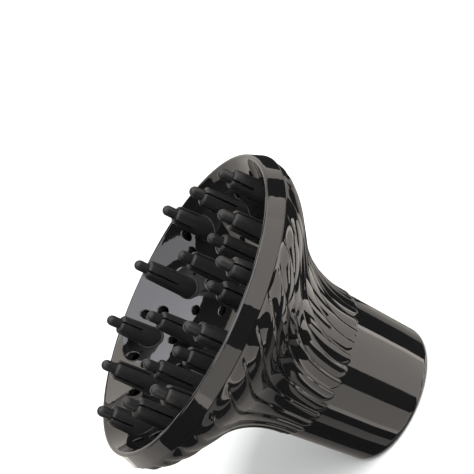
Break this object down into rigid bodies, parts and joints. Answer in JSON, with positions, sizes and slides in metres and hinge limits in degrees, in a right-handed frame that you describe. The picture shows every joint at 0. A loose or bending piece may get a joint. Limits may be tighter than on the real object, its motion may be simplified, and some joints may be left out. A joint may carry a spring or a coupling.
{
  "type": "hair dryer diffuser",
  "caption": "Bowl-shaped hair dryer diffuser with a fluted flare, a round socket for the dryer's barrel, vents and slotted soft fingers.",
  "frame": {"origin": "centre of the socket's end face, which the part stands on", "axes": "+Z along the axis from the socket to the fingers; +X through one outer finger"},
  "size_m": [0.16, 0.16, 0.1327],
  "materials": {
    "shell_gloss": "high gloss, smooth",
    "bowl_gloss": "high gloss, smooth",
    "finger_soft": "matt, soft touch",
    "grip_soft": "matt"
  },
  "bodies": {
    "root": {"rear_shell": "shell_gloss", "face_bowl": "bowl_gloss", "barrel_grip": "grip_soft", "inner_finger_1": "finger_soft", "inner_finger_2": "finger_soft", "inner_finger_3": "finger_soft", "inner_finger_4": "finger_soft", "inner_finger_5": "finger_soft", "inner_finger_6": "finger_soft", "middle_finger_1": "finger_soft", "middle_finger_2": "finger_soft", "middle_finger_3": "finger_soft", "middle_finger_4": "finger_soft", "middle_finger_5": "finger_soft", "middle_finger_6": "finger_soft", "outer_finger_1": "finger_soft", "outer_finger_2": "finger_soft", "outer_finger_3": "finger_soft", "outer_finger_4": "finger_soft", "outer_finger_5": "finger_soft", "outer_finger_6": "finger_soft"}
  },
  "joints": []
}
